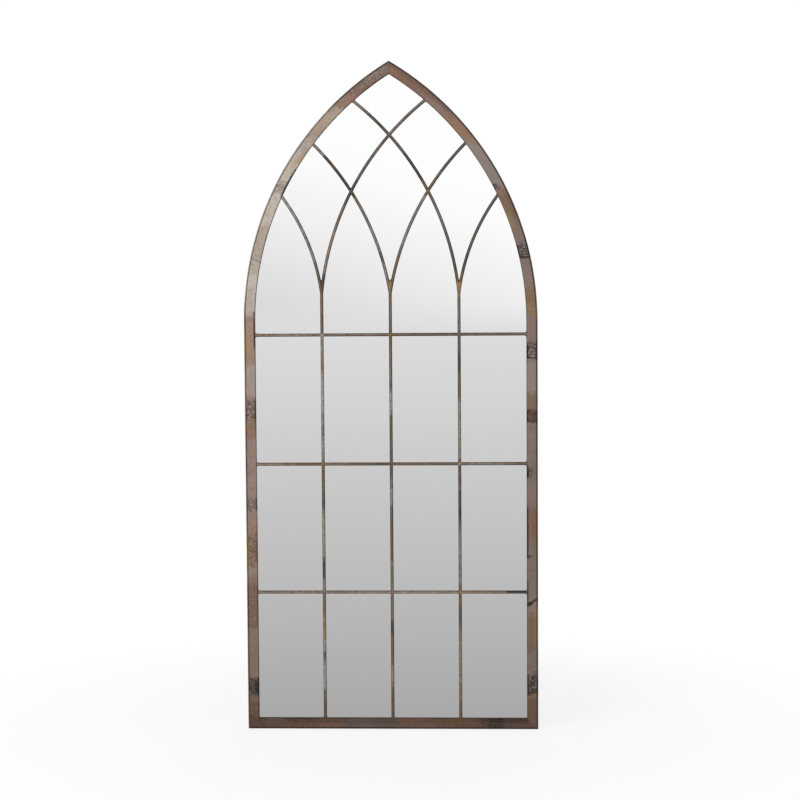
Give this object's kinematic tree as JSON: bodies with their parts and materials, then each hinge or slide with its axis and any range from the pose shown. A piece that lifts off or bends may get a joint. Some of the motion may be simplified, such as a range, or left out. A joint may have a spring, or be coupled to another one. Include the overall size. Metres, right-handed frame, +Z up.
{
  "type": "window mirror",
  "caption": "Tall lancet-arched wall mirror in an aged steel window frame with half-round glazing bars and intersecting tracery, hung by swinging D-rings.",
  "frame": {"origin": "middle of the bottom rail's back edge: X on the centre line, Y on the wall plane, Z on the bottom edge", "axes": "+Z up, +Y to the back towards the wall, +X to the right seen from the front"},
  "size_m": [0.657, 0.025, 1.5],
  "materials": {
    "aged_steel": "satin taupe-brown faux-rust patina with ochre, rust and black speckled patches",
    "aged_bar": "the same patina on half-round bar, in ochre, mauve-grey and near-black lengths",
    "mirror_glass": "silvered float glass, clear",
    "foam_tape": "black closed-cell foam",
    "hardboard": "brown hardboard, smooth",
    "block_rubber": "black moulded rubber",
    "bare_steel": "dark patina over weld studs",
    "zinc_steel": "bright zinc plate"
  },
  "bodies": {
    "frame": {"left_stile": "aged_steel", "right_stile": "aged_steel", "left_arch_rail": "aged_steel", "right_arch_rail": "aged_steel", "bottom_rail": "aged_steel", "left_stile_band": "aged_steel", "right_stile_band": "aged_steel", "left_arch_band": "aged_steel", "right_arch_band": "aged_steel", "bottom_band": "aged_steel", "left_mullion": "aged_bar", "centre_mullion": "aged_bar", "right_mullion": "aged_bar", "lower_transom": "aged_bar", "middle_transom": "aged_bar", "upper_transom": "aged_bar", "left_outer_tracery": "aged_bar", "left_centre_tracery": "aged_bar", "left_long_tracery": "aged_bar", "right_outer_tracery": "aged_bar", "right_centre_tracery": "aged_bar", "right_long_tracery": "aged_bar", "mirror_glass": "mirror_glass", "glazing_tape": "foam_tape", "backing_board": "hardboard", "setting_blocks": "block_rubber", "clip_posts": "bare_steel", "clip_screws": "zinc_steel", "hanger_posts": "bare_steel", "hanger_screws": "zinc_steel", "left_hanger_plate": "zinc_steel", "right_hanger_plate": "zinc_steel"},
    "button_left_low": {"turn_button_left_low": "zinc_steel"},
    "button_left_high": {"turn_button_left_high": "zinc_steel"},
    "button_left_arch": {"turn_button_left_arch": "zinc_steel"},
    "button_right_low": {"turn_button_right_low": "zinc_steel"},
    "button_right_high": {"turn_button_right_high": "zinc_steel"},
    "button_right_arch": {"turn_button_right_arch": "zinc_steel"},
    "button_bottom_left": {"turn_button_bottom_left": "zinc_steel"},
    "button_bottom_right": {"turn_button_bottom_right": "zinc_steel"},
    "ring_left": {"left_hanger_ring": "zinc_steel"},
    "ring_right": {"right_hanger_ring": "zinc_steel"}
  },
  "joints": [
    {"name": "left_low_swivel", "type": "hinge", "parent": "frame", "child": "button_left_low", "pos_m": [-0.32025, -0.01275, 0.27533], "axis": [0, 1, 0], "range_deg": [-90, 90]},
    {"name": "left_high_swivel", "type": "hinge", "parent": "frame", "child": "button_left_high", "pos_m": [-0.32025, -0.01275, 0.55067], "axis": [0, 1, 0], "range_deg": [-90, 90]},
    {"name": "left_arch_swivel", "type": "hinge", "parent": "frame", "child": "button_left_arch", "pos_m": [-0.23347, -0.01275, 1.25034], "axis": [0, 1, 0], "range_deg": [-90, 90]},
    {"name": "right_low_swivel", "type": "hinge", "parent": "frame", "child": "button_right_low", "pos_m": [0.32025, -0.01275, 0.27533], "axis": [0, 1, 0], "range_deg": [-90, 90]},
    {"name": "right_high_swivel", "type": "hinge", "parent": "frame", "child": "button_right_high", "pos_m": [0.32025, -0.01275, 0.55067], "axis": [0, 1, 0], "range_deg": [-90, 90]},
    {"name": "right_arch_swivel", "type": "hinge", "parent": "frame", "child": "button_right_arch", "pos_m": [0.23347, -0.01275, 1.25034], "axis": [0, 1, 0], "range_deg": [-90, 90]},
    {"name": "bottom_left_swivel", "type": "hinge", "parent": "frame", "child": "button_bottom_left", "pos_m": [-0.105, -0.01275, 0.00825], "axis": [0, 1, 0], "range_deg": [-90, 90]},
    {"name": "bottom_right_swivel", "type": "hinge", "parent": "frame", "child": "button_bottom_right", "pos_m": [0.105, -0.01275, 0.00825], "axis": [0, 1, 0], "range_deg": [-90, 90]},
    {"name": "left_ring_swing", "type": "hinge", "parent": "frame", "child": "ring_left", "pos_m": [-0.29425, -0.0099, 0.875], "axis": [1, 0, 0], "range_deg": [0, 180]},
    {"name": "right_ring_swing", "type": "hinge", "parent": "frame", "child": "ring_right", "pos_m": [0.29425, -0.0099, 0.875], "axis": [1, 0, 0], "range_deg": [0, 180]}
  ]
}
